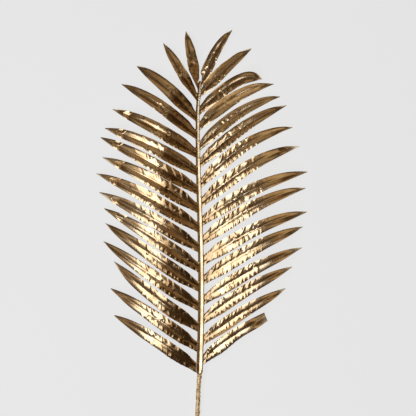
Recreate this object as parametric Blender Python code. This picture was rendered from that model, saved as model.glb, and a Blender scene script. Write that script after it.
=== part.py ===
"""A dried date palm frond with a gold finish, lying on its back.

A tapering rib carries sixteen folded leaflets on each side and ends in a rounded foot,
below which a thinner, rough stem runs on to its cut end.  The tip points to +Y, the stem
to -Y, and the origin is at the bottom centre of the bounding box.  Lengths are in metres.
"""

import math

import bpy
from mathutils import Vector

MM = 0.001
GAP = 0.3 * MM

# Rib: heights are above the surface, y is measured from the rib's rounded foot.
RIB_LENGTH = 381 * MM
RIB_FOOT_WIDTH = 8.4 * MM
RIB_TOP_WIDTH = 3.0 * MM
RIB_FOOT_HEIGHT = 7.6 * MM
RIB_TOP_HEIGHT = 3.0 * MM
RIB_FOOT_LEVEL = 9.5 * MM
RIB_TOP_LEVEL = 8.0 * MM
RIB_ARCH = 3.0 * MM
RIB_SWAY = 2.3 * MM
RIB_SWAY_PITCH = 440 * MM
RIB_HOOK = 2.6 * MM
RIB_HOOK_FROM = 340 * MM
FOOT_ROUND = 4.5 * MM
RIB_STATIONS = 30
RIB_SIDES = 12

# Stem below the foot.
STEM_LENGTH = 185 * MM
STEM_RADIUS = 2.9 * MM
STEM_ROUGHNESS = 0.25 * MM
STEM_DRIFT = 5.0 * MM
STEM_STATIONS = 24
STEM_SIDES = 12

# Leaflets.
BLADE_THICKNESS = 0.8 * MM
BASE_SPAN = 11.5 * MM
FOLD_ANGLE = math.radians(12)
RISE_ANGLE = math.radians(18)
ARCH_POWERS = {"left": 2.0, "right": 2.5}
ROLL_AT_FOOT = math.radians(-6)
ROLL_AT_TOP = math.radians(16)
WIDEST_AT = 0.3
BASE_FULLNESS = 0.86
TAPER_POWER = 2.2
BASE_TURN = 0.16
POINT_WIDTH = 0.7 * MM
FLAT_TIP_FROM = 0.8
LEAFLET_STATIONS = 15
HALF_BLADE_COLUMNS = 2
CAMBER = 0.1

# One row for each leaflet, from the frond's tip down to the foot: middle of its base
# along the rib, length, lean away from the rib's axis, upward bow, and widest width
# (mm and degrees), then the height of its tip over the surface (mm).
LEFT_LEAFLETS = (
    (372, 76, 12, 0, 13.0, 2),
    (359, 84, 31.5, 0, 12.4, 5),
    (334, 102, 49, 3.5, 15.8, 1),
    (311, 117, 55.5, 4, 16.0, 4),
    (287, 123, 62, 3.5, 17.0, 0),
    (264, 131, 65, 4.5, 17.0, 3),
    (240, 142, 61.5, 2, 17.0, 1),
    (216, 140, 62, 4.5, 17.5, 0),
    (191, 149, 62, 4.5, 17.0, 2),
    (165, 147, 61, 4, 17.5, 0),
    (139, 144, 58, 3, 16.5, 3),
    (114, 147, 56, 1, 17.5, 0),
    (89, 149, 56, 1, 16.5, 2),
    (62, 138, 52.5, -1.5, 17.5, 1),
    (36, 135, 56.5, 3.5, 17.5, 0),
    (9, 126, 58, 4.5, 17.0, 0),
)
RIGHT_LEAFLETS = (
    (377, 81, 29.5, 4.5, 12.5, 6),
    (364.5, 89, 48, 3, 13.5, 1),
    (342, 91, 63, 11.5, 14.0, 9),
    (322, 112, 60, 9.5, 15.0, 0),
    (296, 123, 58, 9.5, 15.0, 2),
    (274, 136, 56, 7, 15.5, 0),
    (248, 140, 58.5, 11.5, 15.5, 4),
    (223, 147, 60, 9.5, 16.5, 1),
    (199, 151, 65, 9.5, 16.5, 0),
    (174, 150, 63, 9.5, 17.0, 2),
    (148, 149, 65, 9, 17.0, 0),
    (123, 146, 62, 6.5, 17.0, 3),
    (97, 144, 62, 6, 16.5, 1),
    (72, 133, 59.5, 5.5, 16.0, 0),
    (45, 125, 58, 4.5, 16.0, 1),
    (19.5, 98, 55.5, 4.5, 15.0, 3),
)
# Bases are narrower where the leaflets crowd at the rib's upper end, and on the lowest right one.
NARROW_BASE_SPANS = {
    ("left", 1): 9 * MM,
    ("right", 1): 7 * MM,
    ("right", 2): 9 * MM,
    ("right", 3): 11.5 * MM,
    ("right", 4): 10.5 * MM,
    ("right", 16): 12 * MM,
}
# The bow peaks a little beyond the middle.  The third right leaflet curls over: its bow
# peaks near the tip and it tapers late.
BOW_PEAK = 0.58
BOW_PEAKS = {("right", 3): 0.78}
TAPER_POWERS = {("right", 3): 4.0}
# It also rises over its lower neighbour, which keeps low.
RISE_ANGLES = {("right", 3): math.radians(24), ("right", 4): math.radians(13)}
# Leaflets face a little towards the stem near the foot and towards the tip near the top;
# these ones are twisted further than their neighbours.
EXTRA_ROLLS = {
    ("left", 10): math.radians(-6),
    ("left", 12): math.radians(-7),
    ("left", 13): math.radians(4),
    ("left", 14): math.radians(-8),
    ("left", 15): math.radians(5),
    ("right", 7): math.radians(-5),
}
# The lowest right leaflet is cut off blunt.
BLUNT_END_WIDTHS = {("right", 16): 9.5 * MM}

LEAF_GOLD = (0.72, 0.49, 0.24, 1.0)
RIB_GOLD = (0.80, 0.57, 0.30, 1.0)
STEM_GOLD = (0.50, 0.33, 0.17, 1.0)


def clear_scene():
    for item in list(bpy.data.objects):
        bpy.data.objects.remove(item, do_unlink=True)


def smooth_step(value):
    value = min(max(value, 0.0), 1.0)
    return value * value * (3 - 2 * value)


def mix(start, end, share):
    return start + (end - start) * share


def gold(name, colour, roughness):
    material = bpy.data.materials.new(name)
    material.use_nodes = True
    shader = material.node_tree.nodes["Principled BSDF"]
    shader.inputs["Base Color"].default_value = colour
    shader.inputs["Metallic"].default_value = 1.0
    shader.inputs["Roughness"].default_value = roughness
    return material


def solid_from_rings(name, rings, caps, material, parent):
    """One closed body: quads between successive rings, and the given faces as end caps."""
    count = len(rings[0])
    points = [point for ring in rings for point in ring]
    faces = []
    for row in range(len(rings) - 1):
        for column in range(count):
            after = (column + 1) % count
            low = row * count
            high = low + count
            faces.append((low + column, low + after, high + after, high + column))
    last = (len(rings) - 1) * count
    faces.extend(tuple(reversed(cap)) for cap in caps)
    faces.extend(tuple(last + index for index in cap) for cap in caps)
    mesh = bpy.data.meshes.new(name)
    mesh.from_pydata(points, [], faces)
    mesh.materials.append(material)
    mesh.shade_smooth()
    mesh.set_sharp_from_angle(angle=math.radians(35))
    item = bpy.data.objects.new(name, mesh)
    item.parent = parent
    bpy.context.collection.objects.link(item)
    return item


def rib_centre(y):
    """Middle of the rib's section at y: it sways slightly, hooks to the right at the top and
    arches low over the surface.
    """
    share = y / RIB_LENGTH
    hook = RIB_HOOK * smooth_step((y - RIB_HOOK_FROM) / (RIB_LENGTH - RIB_HOOK_FROM))
    sway = RIB_SWAY * math.sin(math.tau * y / RIB_SWAY_PITCH) + hook
    level = mix(RIB_FOOT_LEVEL, RIB_TOP_LEVEL, share) + RIB_ARCH * math.sin(math.pi * share)
    return Vector((sway, y, level))


def rib_half_width(y):
    return mix(RIB_FOOT_WIDTH, RIB_TOP_WIDTH, y / RIB_LENGTH) / 2


def rib_half_height(y):
    return mix(RIB_FOOT_HEIGHT, RIB_TOP_HEIGHT, y / RIB_LENGTH) / 2


def add_rib(material, parent):
    """Tapering rib, crested on top, with a rounded foot and a rounded upper end."""
    rings = []
    for station in range(RIB_STATIONS + 1):
        turn = math.pi * station / RIB_STATIONS
        y = RIB_LENGTH * (1 - math.cos(turn)) / 2
        centre = rib_centre(y)
        end_distance = min(y, RIB_LENGTH - y)
        rounding = math.sqrt(smooth_step(end_distance / FOOT_ROUND))
        full = mix(0.6, 1.0, rounding)
        ring = []
        for side in range(RIB_SIDES):
            angle = math.tau * side / RIB_SIDES
            across = rib_half_width(y) * math.cos(angle)
            upward = rib_half_height(y) * math.sin(angle)
            ring.append(centre + Vector((-across * full, 0, upward * full)))
        rings.append(ring)
    solid_from_rings("rachis_rib", rings, [tuple(range(RIB_SIDES))], material, parent)


def stem_centre(y):
    """The stem sinks from the foot's level until its cut end rests on the surface."""
    share = -y / STEM_LENGTH
    end_level = STEM_RADIUS + STEM_ROUGHNESS
    level = mix(rib_centre(0).z, end_level, 1 - (1 - share) ** 1.6)
    drift = STEM_DRIFT * math.sin(math.pi * 0.62 * share)
    return Vector((rib_centre(0).x - drift, y, level))


def add_stem(material, parent):
    """Thin, slightly lumpy stem, butting against the foot and cut off square."""
    rings = []
    for station in range(STEM_STATIONS + 1):
        y = -GAP - (STEM_LENGTH - GAP) * station / STEM_STATIONS
        centre = stem_centre(y)
        wander = math.sin(station * 2.1) + 0.6 * math.sin(station * 5.3 + 1)
        radius = STEM_RADIUS + STEM_ROUGHNESS * wander / 1.6
        if station == 0:
            radius = 0.8 * STEM_RADIUS
        ring = []
        for side in range(STEM_SIDES):
            angle = math.tau * side / STEM_SIDES
            ring.append(centre + Vector((math.cos(angle), 0, math.sin(angle))) * radius)
        rings.append(ring)
    solid_from_rings("stem", rings, [tuple(range(STEM_SIDES))], material, parent)


class Leaflet:
    """A long pointed blade with a valley fold, growing from one side of the rib."""

    def __init__(self, side, number, row):
        attach, length, lean, bow, width, tip_level = row
        self.hand = -1 if side == "left" else 1
        self.length = length * MM
        self.half_width = width * MM / 2
        self.base_span = NARROW_BASE_SPANS.get((side, number), BASE_SPAN)
        self.end_half_width = BLUNT_END_WIDTHS.get((side, number), POINT_WIDTH) / 2
        self.taper_power = TAPER_POWERS.get((side, number), TAPER_POWER)
        self.rise = math.tan(RISE_ANGLES.get((side, number), RISE_ANGLE)) * self.length
        self.tip_level = tip_level * MM
        self.arch_power = ARCH_POWERS[side]
        self.base_y = attach * MM
        self.roll = mix(ROLL_AT_FOOT, ROLL_AT_TOP, self.base_y / RIB_LENGTH)
        self.roll += EXTRA_ROLLS.get((side, number), 0.0)
        middle = rib_centre(self.base_y)
        self.base = Vector((self.rib_side(self.base_y), self.base_y))
        self.base_level = middle.z
        lean = math.radians(lean)
        along = Vector((self.hand * math.sin(lean), math.cos(lean)))
        upward = Vector((-self.hand * math.cos(lean), math.sin(lean)))
        peak = BOW_PEAKS.get((side, number), BOW_PEAK)
        self.bend = self.base + along * peak * self.length + upward * 2 * bow * MM
        self.tip = self.base + along * self.length

    def rib_side(self, y):
        return rib_centre(y).x + self.hand * (rib_half_width(y) + GAP)

    def centre(self, share):
        """Plan position of the fold line."""
        rest = 1 - share
        return self.base * rest * rest + self.bend * 2 * share * rest + self.tip * share * share

    def crosswise(self, share):
        """Plan direction across the blade, towards the frond's tip."""
        slope = (self.bend - self.base) * (1 - share) + (self.tip - self.bend) * share
        slope.normalize()
        across = Vector((-slope.y, slope.x)) * self.hand
        turned = Vector((0, 1)).lerp(across, smooth_step(share / BASE_TURN))
        return turned.normalized()

    def half_width_at(self, share):
        if share < WIDEST_AT:
            growth = smooth_step(share / WIDEST_AT)
            widening = mix(BASE_FULLNESS, 1.0, growth) * self.half_width
            start = smooth_step(share / BASE_TURN)
            return mix(self.base_span / 2, widening, start)
        spent = (share - WIDEST_AT) / (1 - WIDEST_AT)
        return mix(self.half_width, self.end_half_width, spent ** self.taper_power)

    def fold_level(self, share):
        """Height of the fold line: it rises from the rib and arches over to the tip."""
        sink = self.rise + self.base_level - self.tip_level - BLADE_THICKNESS
        return self.base_level + self.rise * share - sink * share ** self.arch_power

    def fold_slope(self, share):
        opening = smooth_step((share - FLAT_TIP_FROM) / (1 - FLAT_TIP_FROM))
        closing = mix(0.45, 1.0, smooth_step(share / BASE_TURN))
        return math.tan(FOLD_ANGLE) * closing * (1 - 0.8 * opening)

    def ring(self, share):
        """Section at one station: the upper face's points, then the lower face's."""
        middle = self.centre(share)
        across = self.crosswise(share)
        reach = self.half_width_at(share)
        slope = self.fold_slope(share)
        roll_slope = math.tan(self.roll) * smooth_step(share / BASE_TURN)
        upper = []
        lower = []
        for column in range(-HALF_BLADE_COLUMNS, HALF_BLADE_COLUMNS + 1):
            part = column / HALF_BLADE_COLUMNS
            plan = middle + across * reach * part
            if share == 0:
                plan.x = self.rib_side(plan.y)
            lift = abs(part) * reach * slope - part * reach * roll_slope
            swell = CAMBER * reach * 4 * abs(part) * (1 - abs(part))
            level = self.fold_level(share) + lift + swell
            upper.append(Vector((plan.x, plan.y, level)))
            lower.append(Vector((plan.x, plan.y, level - BLADE_THICKNESS)))
        if self.hand > 0:
            upper.reverse()
            lower.reverse()
        return upper + lower[::-1]

    def build(self, name, material, parent):
        rings = [self.ring(station / LEAFLET_STATIONS) for station in range(LEAFLET_STATIONS + 1)]
        columns = 2 * HALF_BLADE_COLUMNS + 1
        last = 2 * columns - 1
        caps = [(i, i + 1, last - i - 1, last - i) for i in range(columns - 1)]
        solid_from_rings(name, rings, caps, material, parent)


def add_leaflets(material, parent):
    for side, rows in (("left", LEFT_LEAFLETS), ("right", RIGHT_LEAFLETS)):
        for number, row in enumerate(rows, start=1):
            leaflet = Leaflet(side, number, row)
            leaflet.build(f"leaflet_{side}_{number:02d}", material, parent)


def centre_on_origin(parent):
    """Move the whole frond so that its bounding box's bottom centre is the origin."""
    corners = [vertex.co for item in parent.children for vertex in item.data.vertices]
    low = [min(corner[axis] for corner in corners) for axis in range(3)]
    high = [max(corner[axis] for corner in corners) for axis in range(3)]
    parent.location = (-(low[0] + high[0]) / 2, -(low[1] + high[1]) / 2, -low[2])


def main():
    clear_scene()
    frond = bpy.data.objects.new("frond", None)
    bpy.context.collection.objects.link(frond)
    add_rib(gold("rib_gold", RIB_GOLD, 0.32), frond)
    add_stem(gold("stem_gold", STEM_GOLD, 0.5), frond)
    add_leaflets(gold("leaf_gold", LEAF_GOLD, 0.3), frond)
    centre_on_origin(frond)


main()
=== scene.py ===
"""Dried date palm frond, gold finish: fine surface, materials, light and camera.

Every leaflet, the rib and the stem are built again around the frame's own solids.  The
outline, fold and arch of each blade are read from its CAD node.  The script then makes the
blade fuller, bends it along its length, and adds pleats, dents, a fold line and thin edges.
"""

import math
from types import SimpleNamespace

import bpy
import numpy as np
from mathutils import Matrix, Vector


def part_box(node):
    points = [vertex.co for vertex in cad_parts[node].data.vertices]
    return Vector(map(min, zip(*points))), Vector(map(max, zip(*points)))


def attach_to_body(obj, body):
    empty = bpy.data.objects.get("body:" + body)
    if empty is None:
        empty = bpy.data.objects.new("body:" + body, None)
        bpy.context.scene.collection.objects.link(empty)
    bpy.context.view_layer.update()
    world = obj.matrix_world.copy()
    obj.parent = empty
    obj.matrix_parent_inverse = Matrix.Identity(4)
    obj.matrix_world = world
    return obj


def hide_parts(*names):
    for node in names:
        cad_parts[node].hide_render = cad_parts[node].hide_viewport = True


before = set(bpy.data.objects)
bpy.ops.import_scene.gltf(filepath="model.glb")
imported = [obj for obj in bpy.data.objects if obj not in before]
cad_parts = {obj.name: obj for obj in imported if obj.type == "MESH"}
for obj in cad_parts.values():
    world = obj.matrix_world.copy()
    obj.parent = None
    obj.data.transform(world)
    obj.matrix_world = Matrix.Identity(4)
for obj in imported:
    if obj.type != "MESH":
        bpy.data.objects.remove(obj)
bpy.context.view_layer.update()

MM = 0.001

# Blades.
ROWS = 16
STATIONS = 260
FOLD_COLUMNS = (0.035, 0.08, 0.14, 0.22, 0.32, 0.43, 0.54, 0.65, 0.76, 0.86, 0.94, 1.0)
EDGE_THICKNESS = 0.35 * MM
MIDDLE_THICKNESS = 0.7 * MM
CLEARANCE = 0.05 * MM
FOLD_BEAD = 0.28 * MM
FOLD_BEAD_WIDTH = 0.55 * MM
BLADE_CREASE = math.radians(50)

# Pleats pinched across each half blade.  They lean towards the tip on the upper half and
# towards the base on the lower half.
PLEATS = {
    "upper": SimpleNamespace(
        pitch=12.0 * MM, lean=1.0, rise=6.5 * MM, fall=3.0 * MM, height=1.25 * MM
    ),
    "lower": SimpleNamespace(
        pitch=6.8 * MM, lean=-0.5, rise=2.6 * MM, fall=2.6 * MM, height=0.85 * MM
    ),
}
# Pitch of the upper half's pleats at the top row and at the foot row.
UPPER_PITCHES = {"left": (14 * MM, 10.5 * MM), "right": (15 * MM, 6.5 * MM)}
# The share of the blade that is pleated, how far a pleat wanders sideways and over what
# distance, and how strong pleats are on the top rows.
PLEATED_SHARE = 0.58
PLEAT_WANDER = 0.5 * MM
PLEAT_WANDER_LENGTH = 1.3 * MM
TOP_PLEATS = 0.2

# Small round dents over the inner share of each blade.
DENTS = 16
DENTED_SHARE = 0.55
DENT_RADIUS = 1.5 * MM
DENT_HEIGHT = 0.5 * MM

# Gentle unevenness of each half and of the whole blade.
WAVE_KNOTS = 9
WAVE_BLUR = 25
WAVE_SIDE = 0.7 * MM
WAVE_WHOLE = 0.5 * MM

# Rows are counted from the frond's tip.  The top rows are flatter and lean towards the tip,
# and the foot rows droop: each manner fades out over a few rows.
TOP_ROWS = {"left": 4, "right": 5}
FOOT_ROW = 14
ROW_FADE = 3
TOP_FLATTEN = 0.12
TOP_LEAN = 0.12
# How far the upper half is cupped, by row.
CUP_ROWS = (4, 6, 9, 12, 16)
CUPS = (0.0, 0.4 * MM, 0.9 * MM, 0.3 * MM, -0.5 * MM)
# How far the lower half's margin droops from the top rows to the foot rows, and the share of
# the blade at which the droop has faded out.
DROOP_FROM_ROW = 4
DROOP_ROWS = 12
DROOP_TOP = 0.2 * MM
DROOP_FOOT = 2.8 * MM
DROOP_ENDS = {"left": 1.05, "right": 0.85}
DROOP_FADE = 0.35

# Slopes added along the blades, at shares of their length.
SLOPE_SHARES = (0.0, 0.3, 0.45, 0.65, 0.8, 1.0)
SLOPES = {
    "left": (0.10, 0.11, 0.0, -0.11, -0.12, -0.06),
    "right": (-0.04, 0.03, 0.10, 0.06, -0.10, 0.0),
}
TOP_SLOPES = {
    "left": (0.04, 0.04, -0.02, -0.04, 0.0, 0.0),
    "right": (-0.22, -0.19, -0.11, 0.04, 0.08, 0.0),
}
FOOT_SLOPES = {
    "left": (0.14, 0.13, 0.03, -0.13, -0.26, -0.20),
    "right": (-0.13, -0.06, 0.05, 0.16, 0.05, -0.24),
}
# Slope added all along a blade that keeps rising.
EXTRA_SLOPES = {
    ("left", 1): 0.05,
    ("right", 12): 0.02,
    ("right", 13): 0.03,
    ("right", 14): 0.04,
    ("right", 15): 0.05,
    ("right", 16): 0.10,
}

# How much fuller every blade is than its solid, at shares of its length.
FULLNESS_SHARES = (0.0, 0.15, 0.35, 0.6, 0.8, 1.0)
FULLNESS = (0.10, 0.07, 0.02, 0.05, 0.18, 0.22)
# How much wider the lower half is besides, about a quarter of the way along.
BELLY = 0.12
BELLIES = {("right", 16): 0.22, ("left", 16): 0.08, ("left", 15): 0.06, ("left", 14): 0.08}
BELLY_PLACE = 0.25
BELLY_LENGTH = 0.17
# Blades that spread wider beyond their base, or less where one would touch its neighbour.
SPREADS = {
    ("left", 1): 0.04,
    ("left", 2): 0.08,
    ("left", 3): 0.12,
    ("left", 7): -0.06,
    ("right", 1): 0.10,
    ("right", 2): 0.14,
    ("right", 3): 0.10,
    ("right", 4): 0.10,
}
SPREAD_FROM = 0.3
# Bases trimmed where two crowded blades would cut into each other.
BASE_TRIMS = {("left", 1): 0.35, ("left", 2): 0.25}

# Painted shade, darkening each blade from its base: the share of the blade that it covers, and how
# deep it is.
PAINTED_SHADE = {"left": (0.36, 1.0), "right": (0.14, 0.5)}
PAINTED_SHADE_EDGE = 0.08
PAINTED_SHADE_COLOUR = (0.45, 0.38, 0.30)

# Blades that kick up and twist at a crease before the tip, and how strongly.
KINK_SLOPE = 0.52
KINK_SHARES = (0.0, 0.80, 0.87, 1.0)
KINK_TWIST = 0.36
KINKS = {
    "left": {5: 0.8, 6: 0.9, 7: 0.7, 8: 1.0, 9: 1.0, 10: 1.0, 11: 0.5},
    "right": {8: 0.7},
}

# Rib: how much wider it is than its solid at the foot and at the top, its section's corners
# as shares of the half width, the slopes of its facet and flanks, and the painted shade on its
# rims and left flank, and how deep that is.
RIB_SIDES = 72
RIB_STATIONS = 760
RIB_CREASE = math.radians(28)
RIB_WIDENING = (1.0, 1.45)
RIB_CREST = 0.72
RIB_SHOULDER = -0.10
RIB_PAINTED_SHADE_RIM = 0.26
RIB_PAINTED_SHADE = 1.3
RIB_FACET_SLOPE = 0.20
RIB_FLANK_SLOPE = 0.65
FOOT_RIM = 0.5
FOOT_ROUND = 4.6 * MM
# Swelling of the rib where a leaflet joins it.
JOINT_LENGTH = 1.5 * MM
JOINT_SPREAD = 0.7 * MM
JOINT_HEIGHT = 0.8 * MM

# Stem: its bark, and how far it runs on and sinks under the rib's foot.
STEM_SIDES = 28
STEM_STATIONS = 420
STEM_SEED = 5
STEM_LUMPS = 0.12 * MM
STEM_WARTS = 60
WART_HEIGHT = 0.45 * MM
WART_LENGTH = 1.3 * MM
WART_WIDTH = 0.9 * MM
STEM_BEND = 0.35 * MM
STEM_BEND_RATES = (0.11, 0.047)
STEM_UNDER = 5.0 * MM
STEM_SINK = 1.6 * MM

# Metallic finish: the bright and the dark colour of each piece's gold, and its roughness.
LEAF_GOLD = ((0.91, 0.75, 0.52), (0.70, 0.51, 0.30))
RIB_GOLD = ((0.84, 0.73, 0.54), (0.66, 0.51, 0.31))
STEM_GOLD = ((1.0, 0.84, 0.58), (0.62, 0.43, 0.22))
LEAF_ROUGHNESS = 0.25
RIB_ROUGHNESS = 0.33
STEM_ROUGHNESS = 0.60
# Scale of the noise that makes the edge of the painted shade wander.
PAINTED_SHADE_NOISE_SCALE = 45
GRAIN_SCALE = 900
GRAIN_DEPTH = 0.3 * MM

# Floor and light, as scene-linear radiances.
FLOOR_ALBEDO = (0.16, 0.16, 0.16)
FLOOR_GLOW = (0.710, 0.718, 0.729)
PALE = (0.79, 0.79, 0.79)
ROOM = (0.055, 0.030, 0.011)
WARM = (1.0, 0.75, 0.46)
FILLS = (
    ("fill_right", (1.45, 0.0, 1.4), (1.2, 2.4), 0.46),
    ("fill_top", (0.1, 1.4, 1.3), (2.0, 0.9), 0.30),
    ("fill_left", (-1.75, 0.0, 1.3), (0.7, 2.2), 0.30),
)
KEY_PLACE = (-0.655, -0.59, 1.5)
KEY_SIZE = (1.11, 2.02)
KEY_COLOUR = (1.0, 0.98, 0.95)
KEY_POWER = 2.35 * math.pi * KEY_SIZE[0] * KEY_SIZE[1]

# Camera: how wide a strip of the frond's level it sees, where it stands from the rib's foot,
# and the level that it is set for.
VIEW_WIDTH = 0.5388
VIEW_FROM_FOOT = (0.0112, 0.2160)
VIEW_LEVEL = 0.012
LENS_MM = 85.0
SENSOR_MM = 36.0


def mix(start, end, share):
    return start + (end - start) * share


def smooth_step(value):
    value = np.clip(value, 0.0, 1.0)
    return value * value * (3 - 2 * value)


def unit(vectors):
    return vectors / np.maximum(np.linalg.norm(vectors, axis=-1, keepdims=True), 1e-12)


# ---------------------------------------------------------------- reading the CAD blades


def welded_triangles(node):
    """A CAD node's points, with doubles joined, and its triangles."""
    mesh = node.data
    mesh.calc_loop_triangles()
    matrix = np.array(node.matrix_world)
    raw = np.array([vertex.co[:] for vertex in mesh.vertices])
    raw = raw @ matrix[:3, :3].T + matrix[:3, 3]
    keys = np.round(raw / (0.01 * MM)).astype(np.int64)
    _, first, index = np.unique(keys, axis=0, return_index=True, return_inverse=True)
    index = index.reshape(-1)
    triangles = np.array([triangle.vertices[:] for triangle in mesh.loop_triangles])
    return raw[first], index[triangles]


def boundary_loop(triangles):
    """The closed run of points round a sheet of triangles."""
    uses = {}
    for triangle in triangles:
        for start, end in zip(triangle, np.roll(triangle, -1)):
            uses[(start, end)] = uses.get((start, end), 0) + 1
    following = {a: b for a, b in uses if (b, a) not in uses}
    start = next(iter(following))
    loop = [start]
    while following[loop[-1]] != start:
        loop.append(following[loop[-1]])
    return loop


def nearest(points, candidates, target):
    distance = np.linalg.norm(points[candidates][:, :2] - target[:2], axis=1)
    return points[candidates[int(np.argmin(distance))]]


def read_blade(node, rib_x):
    """The blade's rows of points from its base to its tip, across its upper face.

    The upper face is a sheet whose boundary has two sharp corners at the tip.  The short
    run between them is the tip's end, and the base's end has as many steps, so what is
    left is the two margins.  Returns an array (stations, 5, 3) that goes from the lower
    margin over the fold to the upper margin.
    """
    points, triangles = welded_triangles(node)
    corners = points[triangles]
    normals = unit(np.cross(corners[:, 1] - corners[:, 0], corners[:, 2] - corners[:, 0]))
    upper = triangles[normals[:, 2] > 0.3]
    loop = boundary_loop(upper)
    outline = points[loop]
    before = unit(outline[:, :2] - np.roll(outline, 1, axis=0)[:, :2])
    after = unit(np.roll(outline, -1, axis=0)[:, :2] - outline[:, :2])
    turning = np.arccos(np.clip((before * after).sum(axis=1), -1, 1))
    reach = np.abs(outline[:, 0] - rib_x) + 0.5 * (outline[:, 1] - outline[:, 1].min())
    far = reach > 0.6 * reach.max()
    tips = sorted(np.argsort(np.where(far, -turning, 0))[:2])
    size = len(loop)
    step = tips[1] - tips[0]
    if step > size / 2:
        tips = [tips[1], tips[0]]
        step = size - step
    length = (size - 2 * step) // 2
    first = [loop[(tips[0] - i) % size] for i in range(length + 1)][::-1]
    second = [loop[(tips[1] + i) % size] for i in range(length + 1)][::-1]
    lower, higher = points[first], points[second]
    if lower[0][1] > higher[0][1]:
        lower, higher = higher, lower
    candidates = np.unique(upper)
    rows = []
    for low, high in zip(lower, higher):
        inner = [nearest(points, candidates, mix(low, high, share)) for share in (0.25, 0.5, 0.75)]
        rows.append([low, *inner, high])
    return np.array(rows)


def smooth_rows(rows, count):
    """Catmull-Rom curves through the rows, sampled at count + 1 even steps."""
    last = len(rows) - 1
    padded = np.concatenate([[2 * rows[0] - rows[1]], rows, [2 * rows[-1] - rows[-2]]])
    place = np.linspace(0, last, count + 1)
    start = np.minimum(place.astype(int), last - 1)
    t = (place - start)[:, None, None]
    a, b, c, d = (padded[start + i] for i in range(4))
    curve = 2 * b + (c - a) * t + (2 * a - 5 * b + 4 * c - d) * t**2
    return 0.5 * (curve + (3 * b - a - 3 * c + d) * t**3)


# ---------------------------------------------------------------- making meshes


def mesh_object(name, points, faces, material):
    mesh = bpy.data.meshes.new(name)
    mesh.from_pydata(points.tolist(), [], faces)
    mesh.materials.append(material)
    mesh.polygons.foreach_set("use_smooth", [True] * len(mesh.polygons))
    mesh.update()
    item = bpy.data.objects.new(name, mesh)
    bpy.context.collection.objects.link(item)
    return item


def write_surface_place(item, values):
    """Store each point's distance across and along its piece, and how deep its painted shade is.
    """
    layer = item.data.attributes.new("surface_place", "FLOAT_VECTOR", "POINT")
    layer.data.foreach_set("vector", np.ascontiguousarray(values, dtype=np.float32).ravel())


def grid_faces(rows, columns, offset=0, flip=False):
    faces = []
    for row in range(rows - 1):
        for column in range(columns - 1):
            a = offset + row * columns + column
            face = (a, a + 1, a + columns + 1, a + columns)
            faces.append(face[::-1] if flip else face)
    return faces


def blade_manner(side, number):
    """How one leaflet differs from its plain solid, by its side and its row."""
    row = (side, number)
    return SimpleNamespace(
        pitch=mix(*UPPER_PITCHES[side], (number - 1) / (ROWS - 1)),
        topness=float(np.clip(1 - (number - TOP_ROWS[side]) / ROW_FADE, 0, 1)),
        footness=float(np.clip(1 - (FOOT_ROW - number) / ROW_FADE, 0, 1)),
        cup=np.interp(number, CUP_ROWS, CUPS),
        droop=mix(DROOP_TOP, DROOP_FOOT, smooth_step((number - DROOP_FROM_ROW) / DROOP_ROWS)),
        kink=KINKS[side].get(number, 0.0),
        belly=BELLIES.get(row, BELLY),
        spread=SPREADS.get(row, 0.0),
        base_trim=BASE_TRIMS.get(row, 0.0),
        extra_slope=EXTRA_SLOPES.get(row, 0.0),
    )


def fuller_rows(rows, manner):
    """Rows of a blade's points, moved away from the fold or towards it."""
    share = np.linspace(0, 1, len(rows))[:, None]
    belly = manner.belly * np.exp(-(((share - BELLY_PLACE) / BELLY_LENGTH) ** 2))
    rows[:, :2] += (rows[:, :2] - rows[:, 2:3]) * belly[..., None]
    fuller = np.interp(share, FULLNESS_SHARES, FULLNESS)
    fuller *= mix(1.0, smooth_step((share - 0.3) / 0.3), manner.topness)
    trimmed = manner.base_trim * (1 - smooth_step((share - 0.12) / 0.2))
    wider = (manner.spread * smooth_step(share / SPREAD_FROM) + fuller - trimmed)[..., None]
    rows[:, 3:] += (rows[:, 3:] - rows[:, 2:3]) * wider
    rows[:, :2] += (rows[:, :2] - rows[:, 2:3]) * wider
    return rows


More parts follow.
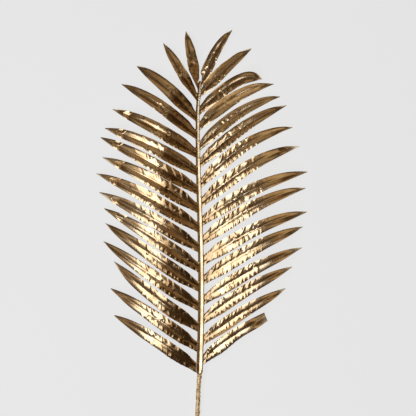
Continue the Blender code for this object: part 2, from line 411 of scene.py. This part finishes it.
class Blade:
    """The fine sheet of one leaflet."""

    def __init__(self, node, side, number, rib_x, generator):
        self.name = node.name + "_blade"
        self.side = side
        self.hand = -1 if side == "left" else 1
        self.manner = blade_manner(side, number)
        self.control = smooth_rows(fuller_rows(read_blade(node, rib_x), self.manner), STATIONS)
        self.columns = np.array([-u for u in FOLD_COLUMNS[::-1]] + [0.0] + list(FOLD_COLUMNS))
        self.generator = generator

    def half_width(self):
        return np.linalg.norm(self.control[:, 4] - self.control[:, 2], axis=1)[:, None]

    def across(self):
        """Signed distance from the fold over the blade, positive in the upper half."""
        return self.columns[None, :] * self.half_width()

    def sheet(self):
        """Points of the plain folded sheet: a quadratic curve across each half blade."""
        part = np.abs(self.columns)
        low, low_middle, fold, high_middle, high = (self.control[:, i] for i in range(5))
        sheet = np.empty((len(self.control), len(self.columns), 3))
        for column, u in enumerate(self.columns):
            middle, margin = (low_middle, low) if u < 0 else (high_middle, high)
            p = part[column]
            weights = ((1 - p) * (1 - 2 * p), 4 * p * (1 - p), p * (2 * p - 1))
            sheet[:, column] = weights[0] * fold + weights[1] * middle + weights[2] * margin
        return sheet

    def pleats(self, along, half):
        """Height of one half blade's pleats, which cross it at uneven spacing."""
        random = self.generator.random
        shape = PLEATS[half]
        part = np.abs(self.columns)
        across = part[None, :] * self.half_width()
        end = along[-1] * (PLEATED_SHARE + 0.1 * random())
        pitch = self.manner.pitch if half == "upper" else shape.pitch
        close = pitch / shape.pitch
        height = np.zeros((len(along), len(part)))
        place = pitch * random()
        while place < end:
            strength = shape.height * (0.3 + 0.9 * random()) * close**0.5
            wander = PLEAT_WANDER * np.sin(across / PLEAT_WANDER_LENGTH + 6 * random())
            lean = shape.lean * (0.6 + 0.8 * random())
            offset = along[:, None] - lean * across - place + wander
            rise = shape.rise * (0.6 + 0.5 * random()) * close
            fall = shape.fall * (0.75 + 0.6 * random()) * close**0.5
            profile = np.where(offset < 0, 1 + offset / rise, 1 - offset / fall)
            start = 0.45 * random() + 0.75 * max(1 - close, 0)
            reach = 0.12 + smooth_step((part - start) / (1.05 - start))[None, :]
            fade = 1 - 0.7 * smooth_step((place / along[-1] - 0.35) / 0.3)
            height += smooth_step(profile) * strength * reach * fade
            place += pitch * (0.6 + 0.8 * random())
        return height

    def dents(self, along):
        """Small round dents and bumps over the inner part of the blade."""
        random = self.generator.random
        lift = np.zeros((len(along), len(self.columns)))
        for _ in range(DENTS):
            place = DENTED_SHARE * along[-1] * random() ** 0.8
            column = 2 * random() - 1
            radius = DENT_RADIUS * (0.7 + 0.8 * random())
            gap = (along[:, None] - place) / radius
            away = (self.columns[None, :] - column) * self.half_width() / radius
            height = DENT_HEIGHT * (0.4 + 0.8 * random()) * (1 if random() < 0.6 else -1)
            lift += height * np.exp(-(gap**2) - away**2)
        return lift

    def ripples(self, along):
        """The pleats of both halves, which start a little way from the base."""
        lower = self.columns[None, :] < 0
        base = smooth_step(along / (5 * MM))[:, None]
        pleats = np.where(lower, self.pleats(along, "lower"), self.pleats(along, "upper"))
        strength = mix(1.0, TOP_PLEATS, smooth_step((self.manner.topness - 0.5) / 0.5))
        return strength * pleats * base

    def tip_kink(self, along):
        """The kick and twist beyond the crease that some blades have before the tip."""
        length = along[-1]
        place = (along / length)[:, None] + 0.03 * np.abs(self.columns)[None, :]
        rise = KINK_SLOPE * (KINK_SHARES[2] - KINK_SHARES[1]) * length
        kick = np.interp(place, KINK_SHARES, (0, 0, rise, 0.6 * rise))
        crease = (KINK_SHARES[1], KINK_SHARES[1] + 0.03)
        twist = KINK_TWIST * np.interp(place, crease, (0, 1)) * self.across()
        return self.manner.kink * (kick + twist)

    def bearing(self, along):
        """How the blade differs from the plain sheet in its slopes: steeper or flatter along
        its length, cupped in the upper half and drooping in the lower half.
        """
        manner = self.manner
        share = along / along[-1]
        slopes = np.interp(share, SLOPE_SHARES, SLOPES[self.side])
        top = np.interp(share, SLOPE_SHARES, TOP_SLOPES[self.side])
        foot = np.interp(share, SLOPE_SHARES, FOOT_SLOPES[self.side])
        slopes = mix(mix(slopes, top, manner.topness), foot, manner.footness)
        run = np.cumsum(slopes * np.diff(along, prepend=0))
        run -= run[-1] * smooth_step((share - 0.5) / 0.5)
        run += manner.extra_slope * along * (1 - 0.3 * smooth_step((share - 0.8) / 0.2))
        upper = np.clip(self.columns, 0, 1)[None, :]
        lower = np.clip(-self.columns, 0, 1)[None, :]
        base = smooth_step(along / (12 * MM))[:, None]
        cupped = base * (1 - smooth_step((share - 0.68) / 0.25))[:, None]
        droop_start = DROOP_ENDS[self.side] - DROOP_FADE
        drooping = base * (1 - smooth_step((share - droop_start) / DROOP_FADE))[:, None]
        lift = run[:, None] + cupped * manner.cup * upper**2 - drooping * manner.droop * lower
        across = self.across()
        lift -= manner.topness * base * (TOP_FLATTEN * np.abs(across) + TOP_LEAN * across)
        return lift

    def waviness(self, along):
        """Gentle unevenness of the whole blade, different on the two halves."""
        knots = np.linspace(0, along[-1], WAVE_KNOTS)
        window = np.ones(WAVE_BLUR) / WAVE_BLUR
        swells = []
        for _ in range(3):
            swell = (self.generator.random(WAVE_KNOTS) - 0.5) * 2
            swell[0] = 0
            padded = np.pad(np.interp(along, knots, swell), WAVE_BLUR // 2, mode="edge")
            swells.append(np.convolve(padded, window, "valid")[:, None])
        upper = np.clip(self.columns, 0, 1)[None, :]
        lower = np.clip(-self.columns, 0, 1)[None, :]
        return WAVE_SIDE * (swells[0] * upper + swells[1] * lower) + WAVE_WHOLE * swells[2]

    def upper_face(self, sheet, along):
        """The sheet with its fine relief along its normals and its broad shape along z."""
        lengthwise = unit(np.gradient(sheet, axis=0))
        crosswise = unit(np.gradient(sheet, axis=1))
        normal = unit(np.cross(crosswise, lengthwise))
        normal *= np.sign(normal[..., 2:3])
        bead = FOLD_BEAD * np.exp(-((np.abs(self.across()) / FOLD_BEAD_WIDTH) ** 2))
        fine = self.ripples(along) + bead + self.waviness(along) + self.dents(along)
        upper = sheet + normal * fine[..., None]
        upper[..., 2] += self.tip_kink(along) + self.bearing(along)
        return upper, normal

    # Painted shade: the blade is darkened from its base, further along and deeper on the left
    # blades.
    def painted_shade(self, along):
        reach, depth = PAINTED_SHADE[self.side]
        share = (along / along[-1])[:, None]
        edge = (share - reach + PAINTED_SHADE_EDGE) / (2 * PAINTED_SHADE_EDGE)
        return depth * (1 - smooth_step(edge))

    def faces(self):
        """The upper grid, the lower grid and the rim between them."""
        rows, columns = len(self.control), len(self.columns)
        count = rows * columns
        flip = self.hand < 0
        faces = grid_faces(rows, columns, 0, flip) + grid_faces(rows, columns, count, not flip)
        rim = [(row, 0) for row in range(rows)]
        rim += [(rows - 1, column) for column in range(1, columns)]
        rim += [(row, columns - 1) for row in range(rows - 2, -1, -1)]
        rim += [(0, column) for column in range(columns - 2, 0, -1)]
        ring = [row * columns + column for row, column in rim]
        for start, end in zip(ring, ring[1:] + ring[:1]):
            face = (start, end, end + count, start + count)
            faces.append(face if flip else face[::-1])
        return faces

    def build(self, material):
        sheet = self.sheet()
        fold = sheet[:, len(self.columns) // 2]
        steps = np.linalg.norm(np.diff(fold, axis=0), axis=1)
        along = np.concatenate([[0], np.cumsum(steps)])
        upper, normal = self.upper_face(sheet, along)
        part = np.abs(self.columns)[None, :, None]
        thickness = mix(MIDDLE_THICKNESS, EDGE_THICKNESS, part**2)
        upper[..., 2] = np.maximum(upper[..., 2], thickness[..., 0] + CLEARANCE)
        lower = upper - normal * thickness
        points = np.concatenate([upper.reshape(-1, 3), lower.reshape(-1, 3)])
        item = mesh_object(self.name, points, self.faces(), material)
        item.data.set_sharp_from_angle(angle=BLADE_CREASE)
        place = (self.across(), along[:, None], self.painted_shade(along))
        place = np.stack(np.broadcast_arrays(*place), axis=2)
        write_surface_place(item, np.concatenate([place.reshape(-1, 3)] * 2))
        return item


# ---------------------------------------------------------------- materials


class GoldMaterial:
    """Metallic gold paint with a patina, painted shade from a depth stored on each point, a fine
    grain and whatever else a piece adds.
    """

    def __init__(self, name, bright, dark, roughness, patina_scale):
        self.material = bpy.data.materials.new(name)
        self.material.use_nodes = True
        tree = self.material.node_tree
        self.nodes, self.links = tree.nodes, tree.links
        self.shader = self.nodes["Principled BSDF"]
        self.shader.inputs["Metallic"].default_value = 1.0
        self.place = self.node("ShaderNodeTexCoord").outputs["Object"]
        patina = self.noise(self.place, patina_scale, 6.0)
        self.colour = self.ramp(patina, (0.35, dark), (0.6, bright))
        attribute = self.node("ShaderNodeAttribute")
        attribute.attribute_name = "surface_place"
        self.surface = attribute.outputs["Vector"]
        split = self.node("ShaderNodeSeparateXYZ")
        self.link(self.surface, split.inputs["Vector"])
        # Painted shade: the colour is darkened by the depth stored in the surface place's third
        # value, with a noisy edge.
        wander = self.node("ShaderNodeMath")
        wander.operation = "MULTIPLY_ADD"
        wander.inputs[1].default_value = 0.5
        self.link(self.noise(self.place, PAINTED_SHADE_NOISE_SCALE, 3.0), wander.inputs[0])
        self.link(split.outputs["Z"], wander.inputs[2])
        self.shade(wander.outputs["Value"], (0.35, (1, 1, 1)), (0.95, PAINTED_SHADE_COLOUR))
        spread = self.node("ShaderNodeMapRange")
        spread.inputs["To Min"].default_value = roughness + 0.08
        spread.inputs["To Max"].default_value = roughness - 0.05
        self.link(patina, spread.inputs["Value"])
        self.link(spread.outputs["Result"], self.shader.inputs["Roughness"])
        self.normal = None

    def node(self, kind):
        return self.nodes.new(kind)

    def link(self, output, socket):
        self.links.new(output, socket)

    def noise(self, vector, scale, detail):
        node = self.node("ShaderNodeTexNoise")
        node.inputs["Scale"].default_value = scale
        node.inputs["Detail"].default_value = detail
        self.link(vector, node.inputs["Vector"])
        return node.outputs["Fac"]

    def stretch(self, vector, scale):
        node = self.node("ShaderNodeMapping")
        node.inputs["Scale"].default_value = scale
        self.link(vector, node.inputs["Vector"])
        return node.outputs["Vector"]

    def ramp(self, factor, *stops):
        node = self.node("ShaderNodeValToRGB")
        elements = node.color_ramp.elements
        for element, (position, colour) in zip(elements, stops):
            element.position = position
            element.color = (*colour, 1)
        self.link(factor, node.inputs["Fac"])
        return node.outputs["Color"]

    def shade(self, factor, *stops):
        """Multiply the colour by a ramp of the factor."""
        node = self.node("ShaderNodeMix")
        node.data_type = "RGBA"
        node.blend_type = "MULTIPLY"
        node.inputs["Factor"].default_value = 1.0
        self.link(self.colour, node.inputs["A"])
        self.link(self.ramp(factor, *stops), node.inputs["B"])
        self.colour = node.outputs["Result"]

    def bump(self, height, strength, distance):
        node = self.node("ShaderNodeBump")
        node.inputs["Strength"].default_value = strength
        node.inputs["Distance"].default_value = distance
        self.link(height, node.inputs["Height"])
        if self.normal is not None:
            self.link(self.normal, node.inputs["Normal"])
        self.normal = node.outputs["Normal"]

    def grain(self, strength):
        """The fine grain that every piece has."""
        self.bump(self.noise(self.place, GRAIN_SCALE, 4.0), strength, GRAIN_DEPTH)

    def finished(self):
        self.link(self.colour, self.shader.inputs["Base Color"])
        self.link(self.normal, self.shader.inputs["Normal"])
        return self.material


def leaf_material():
    """Gold leaf with lengthwise veins.  Its painted shade follows the depth stored on each point,
    darkest at the blade's base.
    """
    gold = GoldMaterial("leaf_gold", *LEAF_GOLD, LEAF_ROUGHNESS, 60)
    veins = gold.noise(gold.stretch(gold.surface, (2600, 60, 0)), 1.0, 2.0)
    gold.shade(veins, (0.3, (0.82, 0.78, 0.72)), (0.6, (1, 1, 1)))
    gold.bump(veins, 0.10, 0.3 * MM)
    gold.grain(0.12)
    return gold.finished()


def rib_material():
    """Gold with fine cross wrinkles."""
    gold = GoldMaterial("rib_gold", *RIB_GOLD, RIB_ROUGHNESS, 90)
    wrinkles = gold.noise(gold.stretch(gold.place, (250, 1100, 250)), 1.0, 3.0)
    gold.bump(wrinkles, 0.5, 0.5 * MM)
    gold.grain(0.2)
    return gold.finished()


def stem_material():
    """Dull gold on rough bark, with dark flecks."""
    gold = GoldMaterial("stem_gold", *STEM_GOLD, STEM_ROUGHNESS, 350)
    flecks = gold.noise(gold.stretch(gold.place, (420, 190, 420)), 1.0, 3.0)
    gold.shade(flecks, (0.32, (0.25, 0.18, 0.11)), (0.40, (1, 1, 1)))
    gold.bump(flecks, 0.5, 0.5 * MM)
    gold.grain(0.6)
    return gold.finished()


# ---------------------------------------------------------------- rib and stem


def rings_of(node):
    """Centre, half width and half height of a long node, at each y where it has points."""
    points, _ = welded_triangles(node)
    rows = {}
    for point in points:
        rows.setdefault(round(point[1] / (0.05 * MM)), []).append(point)
    result = []
    for key in sorted(rows):
        ring = np.array(rows[key])
        low, high = ring.min(axis=0), ring.max(axis=0)
        result.append([(low + high) / 2, (high - low) / 2])
    return np.array(result)


def closed_tube(name, rows, material):
    """A closed tube through rings of points, which run anticlockwise seen from the far end."""
    sides = len(rows[0])
    points = np.concatenate(rows)
    faces = []
    for row in range(len(rows) - 1):
        for side in range(sides):
            after = (side + 1) % sides
            low = row * sides
            faces.append((low + after, low + side, low + side + sides, low + after + sides))
    faces.append(tuple(range(sides)))
    faces.append(tuple(range(len(points) - 1, len(points) - 1 - sides, -1)))
    return mesh_object(name, points, faces, material)


def resample(rings, places):
    """Rings at the given y places, from rings at rising ones."""
    y = rings[:, 0, 1]
    flat = rings.reshape(len(rings), -1)
    values = np.stack([np.interp(places, y, flat[:, i]) for i in range(flat.shape[1])], axis=1)
    return values.reshape(len(places), 2, 3)


def rib_section(angles, half_width, half_height, inset, rim):
    """x and z of the rib's section: a steep left flank, a broad facet that leans left over
    most of its top, and a short right flank; its underside is half an ellipse.  The inset is
    how far the section is from the full width inside the rounded foot, and the rim is the
    sloping edge's share of the half width.
    """
    x = np.sqrt(max(half_width**2 - inset**2, 1e-9)) * np.cos(angles)
    z = half_height * np.sin(angles) * math.sqrt(max(1 - (inset / half_width) ** 2, 0.01))
    drop = RIB_FACET_SLOPE * np.maximum(RIB_CREST * half_width - x, 0)
    flank = np.maximum(RIB_SHOULDER * half_width - x, 0)
    drop += (RIB_FLANK_SLOPE - RIB_FACET_SLOPE) * flank
    margin = half_width - np.hypot(x, inset)
    drop = np.maximum(drop, RIB_FLANK_SLOPE * (rim * half_width - margin))
    top = np.maximum(half_height - drop, 0.05 * half_height)
    return x, np.where(np.sin(angles) > 1e-9, top, z)


def joint_swelling(y, angles, joints):
    """How much the rib swells at y, round its section, for the leaflets that join it."""
    edge = np.cos(angles) ** 2 * (np.sin(angles) > -0.2)
    swell = np.zeros(len(angles))
    for side, joint_y, size in joints:
        near = math.exp(-(((y - joint_y) / JOINT_LENGTH) ** 2))
        swell += size * near * edge * (np.sign(np.cos(angles)) == side)
    return swell


def rib_places(first, last, foot_half_width):
    """Places of the rib's sections, close together where its foot is rounded."""
    turns = np.linspace(0.05, math.pi / 2, 24)
    rounded = first + foot_half_width * (1 - np.cos(turns))
    return np.concatenate([rounded, np.linspace(rounded[-1], last, RIB_STATIONS)[1:]])


def build_rib(joints, material):
    """The rib, with a small swelling where each leaflet joins it, and painted shade on its left
    flank and rims.
    """
    rings = rings_of(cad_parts["rachis_rib"])
    first, last = rings[0, 0, 1], rings[-1, 0, 1]
    whole = rings[(rings[:, 0, 1] > first + FOOT_ROUND) & (rings[:, 0, 1] < last - FOOT_ROUND)]
    foot_half_width = whole[0, 1, 0] * RIB_WIDENING[0]
    places = rib_places(first, last, foot_half_width)
    centres = resample(rings, places)[:, 0]
    radii = resample(whole, places)[:, 1]
    radii[:, 0] *= mix(*RIB_WIDENING, (places - first) / (last - first))
    angles = np.linspace(0, math.tau, RIB_SIDES, endpoint=False)
    side = np.sign(np.cos(angles))
    rows = []
    painted_shade = []
    for centre, radius in zip(centres, radii):
        y = centre[1]
        inset = max(first + foot_half_width - y, 0)
        taper = 1 - 0.5 * smooth_step((y - last) / FOOT_ROUND + 1)
        footness = 1 - smooth_step((y - first - foot_half_width) / foot_half_width)
        rim = mix(1 - RIB_CREST, FOOT_RIM, footness)
        x, z = rib_section(angles, radius[0] * taper, radius[2] * taper, inset, rim)
        # Painted shade: the left flank and the rims are darkened, less where a leaflet joins the
        # rib.
        left_flank = RIB_SHOULDER * radius[0] - x
        dark_rim = mix(RIB_PAINTED_SHADE_RIM, FOOT_RIM, footness) * radius[0]
        within_rim = dark_rim - (radius[0] - np.hypot(x, inset))
        dark = smooth_step(np.maximum(left_flank, within_rim) / (0.12 * radius[0]))
        swell = joint_swelling(y, angles, joints)
        painted_shade.append(dark * (1 - np.clip(swell, 0, 1)))
        x = centre[0] + x + side * swell * JOINT_SPREAD
        z = centre[2] + z + swell * JOINT_HEIGHT
        rows.append(np.stack([x, np.full(len(x), y), z], axis=1))
    item = closed_tube("rib_surface", rows, material)
    depth = RIB_PAINTED_SHADE * np.concatenate(painted_shade)
    write_surface_place(item, np.stack([0 * depth, 0 * depth, depth], axis=1))
    item.data.set_sharp_from_angle(angle=RIB_CREASE)
    return item


def build_stem(material):
    """The stem's rough bark: long lumps, short lumps and a few warts."""
    rings = rings_of(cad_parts["stem"])
    first, last = rings[0, 0, 1], rings[-1, 0, 1]
    places = np.linspace(first, last + STEM_UNDER, STEM_STATIONS)
    centres = resample(rings, places)[:, 0]
    centres[:, 1] = places
    radii = resample(rings[:-1], places)[:, 1]
    generator = np.random.default_rng(STEM_SEED)
    angles = np.linspace(0, math.tau, STEM_SIDES, endpoint=False)
    lumps = generator.normal(size=(len(places), STEM_SIDES))
    for _ in range(2):
        lumps = (lumps + np.roll(lumps, 1, axis=0) + np.roll(lumps, -1, axis=0)) / 3
        lumps = (lumps + np.roll(lumps, 1, axis=1) + np.roll(lumps, -1, axis=1)) / 3
    lumps *= STEM_LUMPS / lumps.std()
    for _ in range(STEM_WARTS):
        place = generator.uniform(first, last)
        turn = generator.uniform(0, math.tau)
        size = generator.uniform(0.5, 1.0)
        away = np.angle(np.exp(1j * (angles - turn)))[None, :] * radii[0, 0]
        gap = (places - place)[:, None]
        wart = np.exp(-((gap / WART_LENGTH) ** 2) - (away / WART_WIDTH) ** 2)
        lumps += WART_HEIGHT * size * wart
    rows = []
    for index, (centre, radius) in enumerate(zip(centres, radii)):
        short, long = STEM_BEND_RATES
        bend = STEM_BEND * math.sin(index * short) * math.sin(index * long + 1)
        sink = STEM_SINK * smooth_step((centre[1] - last) / STEM_UNDER)
        x = centre[0] + bend + (radius[0] + lumps[index]) * np.cos(angles)
        z = centre[2] - sink + (radius[2] + lumps[index]) * np.sin(angles)
        rows.append(np.stack([x, np.full(len(x), centre[1]), z], axis=1))
    return closed_tube("stem_surface", rows, material)


# ---------------------------------------------------------------- light, floor, camera


def area_light(name, place, target, size, power, colour):
    light = bpy.data.lights.new(name, "AREA")
    light.shape = "RECTANGLE"
    light.size, light.size_y = size
    light.energy = power
    light.color = colour
    item = bpy.data.objects.new(name, light)
    item.location = place
    item.rotation_euler = (Vector(target) - Vector(place)).to_track_quat("-Z", "Y").to_euler()
    bpy.context.collection.objects.link(item)
    return item


def build_floor():
    bpy.ops.mesh.primitive_plane_add(size=30, location=(0, 0, 0))
    floor = bpy.context.object
    floor.name = "floor"
    material = bpy.data.materials.new("floor_paper")
    material.use_nodes = True
    shader = material.node_tree.nodes["Principled BSDF"]
    shader.inputs["Base Color"].default_value = (*FLOOR_ALBEDO, 1)
    shader.inputs["Roughness"].default_value = 1.0
    shader.inputs["Specular IOR Level"].default_value = 0.0
    shader.inputs["Emission Color"].default_value = (*FLOOR_GLOW, 1)
    shader.inputs["Emission Strength"].default_value = 1.0
    floor.data.materials.append(material)


def build_world():
    world = bpy.data.worlds.new("studio")
    bpy.context.scene.world = world
    world.use_nodes = True
    nodes, links = world.node_tree.nodes, world.node_tree.links
    background = nodes["Background"]
    background.inputs["Color"].default_value = (*ROOM, 1)
    background.inputs["Strength"].default_value = 1.0
    pale = nodes.new("ShaderNodeBackground")
    pale.inputs["Color"].default_value = (*PALE, 1)
    path = nodes.new("ShaderNodeLightPath")
    choose = nodes.new("ShaderNodeMixShader")
    links.new(path.outputs["Is Camera Ray"], choose.inputs["Fac"])
    links.new(background.outputs["Background"], choose.inputs[1])
    links.new(pale.outputs["Background"], choose.inputs[2])
    links.new(choose.outputs["Shader"], nodes["World Output"].inputs["Surface"])


def build_camera():
    """Straight above the frond, its tip at the top of the image and its stem running out."""
    distance = VIEW_WIDTH / 2 / math.tan(math.atan(SENSOR_MM / 2 / LENS_MM))
    camera = bpy.data.cameras.new("camera")
    camera.lens = LENS_MM
    camera.sensor_width = SENSOR_MM
    camera.clip_end = 100
    item = bpy.data.objects.new("camera", camera)
    foot_x = rings_of(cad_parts["rachis_rib"])[0, 0, 0]
    foot_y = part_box("rachis_rib")[0][1]
    x, y = VIEW_FROM_FOOT
    item.location = (foot_x + x, foot_y + y, VIEW_LEVEL + distance)
    bpy.context.collection.objects.link(item)
    bpy.context.scene.camera = item


def attach(item, name):
    """Ride the one body in place of the CAD node of that name."""
    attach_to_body(item, "root")
    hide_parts(name)


def build_leaflets(material):
    """All the leaflets.  Returns where they join the rib: side, y and size of each joint."""
    rib = rings_of(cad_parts["rachis_rib"])[:, 0]
    joints = []
    for side in ("left", "right"):
        for number in range(1, ROWS + 1):
            name = f"leaflet_{side}_{number:02d}"
            base_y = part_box(name)[0][1]
            rib_x = np.interp(base_y, rib[:, 1], rib[:, 0])
            generator = np.random.default_rng(100 * (side == "right") + number)
            blade = Blade(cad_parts[name], side, number, rib_x, generator)
            item = blade.build(material)
            joints.append((blade.hand, blade.control[0, 4, 1], generator.uniform(0.6, 1.2)))
            joints.append((blade.hand, blade.control[0, 0, 1], generator.uniform(0.2, 0.6)))
            attach(item, name)
    return joints


def build_lights():
    for name, place, size, radiance in FILLS:
        power = radiance * math.pi * size[0] * size[1]
        area_light(name, place, (0, 0, 0), size, power, WARM)
    key = area_light("key", KEY_PLACE, KEY_PLACE, KEY_SIZE, KEY_POWER, KEY_COLOUR)
    key.rotation_euler = (0, 0, 0)


def main():
    leaf = leaf_material()
    rib_gold = rib_material()
    stem_gold = stem_material()
    joints = build_leaflets(leaf)
    attach(build_rib(joints, rib_gold), "rachis_rib")
    attach(build_stem(stem_gold), "stem")
    build_floor()
    build_world()
    build_lights()
    build_camera()
    bpy.context.scene.view_settings.view_transform = "Standard"


main()
